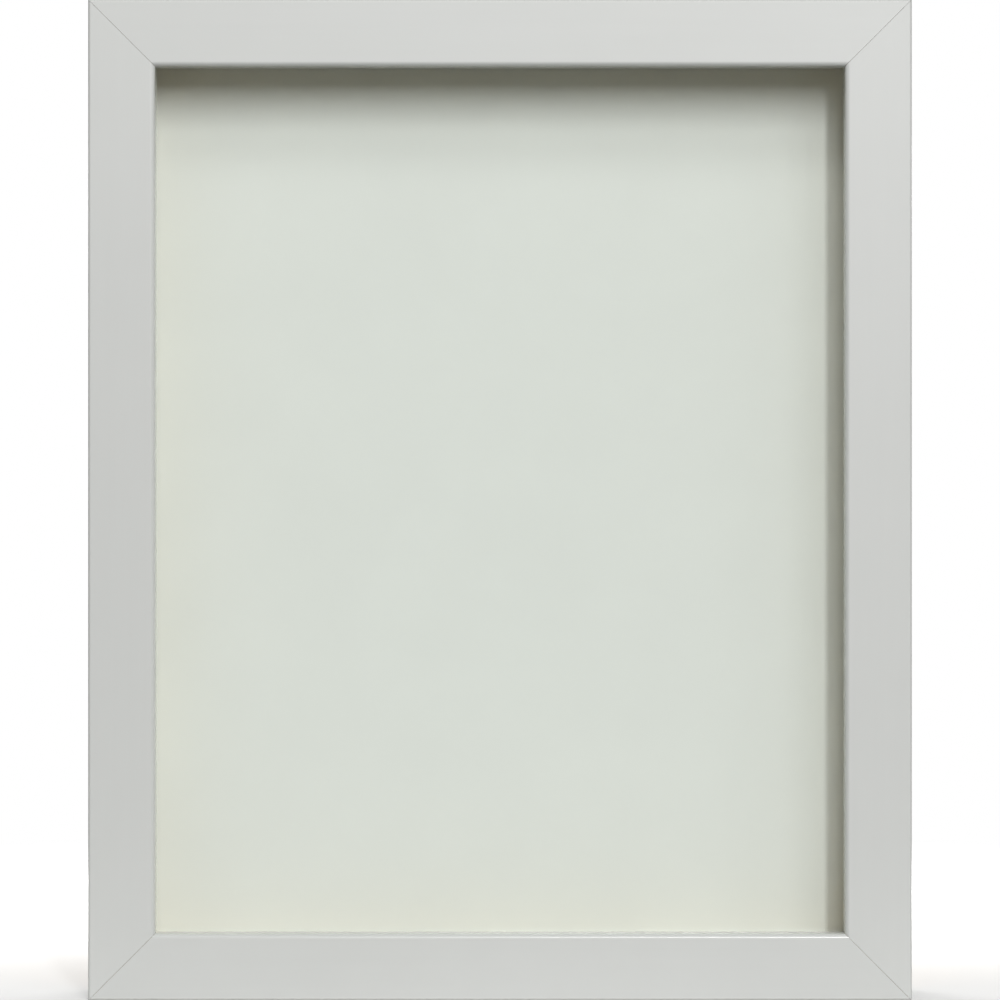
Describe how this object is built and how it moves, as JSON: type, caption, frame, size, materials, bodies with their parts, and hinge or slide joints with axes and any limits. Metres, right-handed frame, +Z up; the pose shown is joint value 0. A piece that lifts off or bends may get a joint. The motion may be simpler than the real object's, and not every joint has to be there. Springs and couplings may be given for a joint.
{
  "type": "shadow box",
  "caption": "White mitred shadow box frame with a deep glazed display space and a lift-out back held by turn buttons; stands or hangs.",
  "frame": {"origin": "on the surface it stands on, under the middle of the whole box with its wall bumpers", "axes": "+X to the right seen from the front, +Y towards the back, +Z up; the glass faces -Y"},
  "size_m": [0.236, 0.037, 0.2868],
  "materials": {
    "painted_wood": "smooth satin off-white paint",
    "glass": "clear, faint green cast",
    "spacer_card": "matt off-white card",
    "display_card": "matt off-white card with a faint green cast",
    "hardboard": "smooth brown hardboard",
    "zinc_plate": "bright zinc plate, lightly brushed",
    "screw_steel": "bright zinc plate",
    "nail_steel": "bare steel",
    "bumper_rubber": "matt dark grey rubber"
  },
  "bodies": {
    "frame": {"top_rail": "painted_wood", "bottom_rail": "painted_wood", "left_stile": "painted_wood", "right_stile": "painted_wood", "glass": "glass", "spacer_top": "spacer_card", "spacer_bottom": "spacer_card", "spacer_left": "spacer_card", "spacer_right": "spacer_card", "turn_button_screws": "screw_steel", "hanger_strap_left": "zinc_plate", "hanger_strap_right": "zinc_plate", "hanger_screws": "screw_steel", "corner_nails": "nail_steel", "bumper_left": "bumper_rubber", "bumper_right": "bumper_rubber"},
    "turn_button_left_upper": {"turn_button_left_upper": "zinc_plate"},
    "turn_button_left_lower": {"turn_button_left_lower": "zinc_plate"},
    "turn_button_right_upper": {"turn_button_right_upper": "zinc_plate"},
    "turn_button_right_lower": {"turn_button_right_lower": "zinc_plate"},
    "turn_button_top": {"turn_button_top": "zinc_plate"},
    "turn_button_bottom": {"turn_button_bottom": "zinc_plate"},
    "hanger_ring_left": {"hanger_ring_left": "zinc_plate"},
    "hanger_ring_right": {"hanger_ring_right": "zinc_plate"},
    "back_pack": {"display_board": "display_card", "backing_board": "hardboard"}
  },
  "joints": [
    {"name": "turn_button_left_upper_swivel", "type": "hinge", "parent": "frame", "child": "turn_button_left_upper", "pos_m": [-0.11, 0.0135, 0.2014], "axis": [0, -1, 0], "range_deg": [0, 180]},
    {"name": "turn_button_left_lower_swivel", "type": "hinge", "parent": "frame", "child": "turn_button_left_lower", "pos_m": [-0.11, 0.0135, 0.0854], "axis": [0, -1, 0], "range_deg": [0, 180]},
    {"name": "turn_button_right_upper_swivel", "type": "hinge", "parent": "frame", "child": "turn_button_right_upper", "pos_m": [0.11, 0.0135, 0.2014], "axis": [0, 1, 0], "range_deg": [0, 180]},
    {"name": "turn_button_right_lower_swivel", "type": "hinge", "parent": "frame", "child": "turn_button_right_lower", "pos_m": [0.11, 0.0135, 0.0854], "axis": [0, 1, 0], "range_deg": [0, 180]},
    {"name": "turn_button_top_swivel", "type": "hinge", "parent": "frame", "child": "turn_button_top", "pos_m": [0, 0.0135, 0.2788], "axis": [0, 1, 0], "range_deg": [0, 180]},
    {"name": "turn_button_bottom_swivel", "type": "hinge", "parent": "frame", "child": "turn_button_bottom", "pos_m": [0, 0.0135, 0.008], "axis": [0, -1, 0], "range_deg": [0, 180]},
    {"name": "hanger_ring_left_swing", "type": "hinge", "parent": "frame", "child": "hanger_ring_left", "pos_m": [-0.11, 0.0158, 0.2428], "axis": [1, 0, 0], "range_deg": [0, 180]},
    {"name": "hanger_ring_right_swing", "type": "hinge", "parent": "frame", "child": "hanger_ring_right", "pos_m": [0.11, 0.0158, 0.2428], "axis": [1, 0, 0], "range_deg": [0, 180]},
    {"name": "back_pack_lift_out", "type": "slide", "parent": "frame", "child": "back_pack", "axis": [0, 1, 0], "range_m": [0, 0.08]}
  ]
}
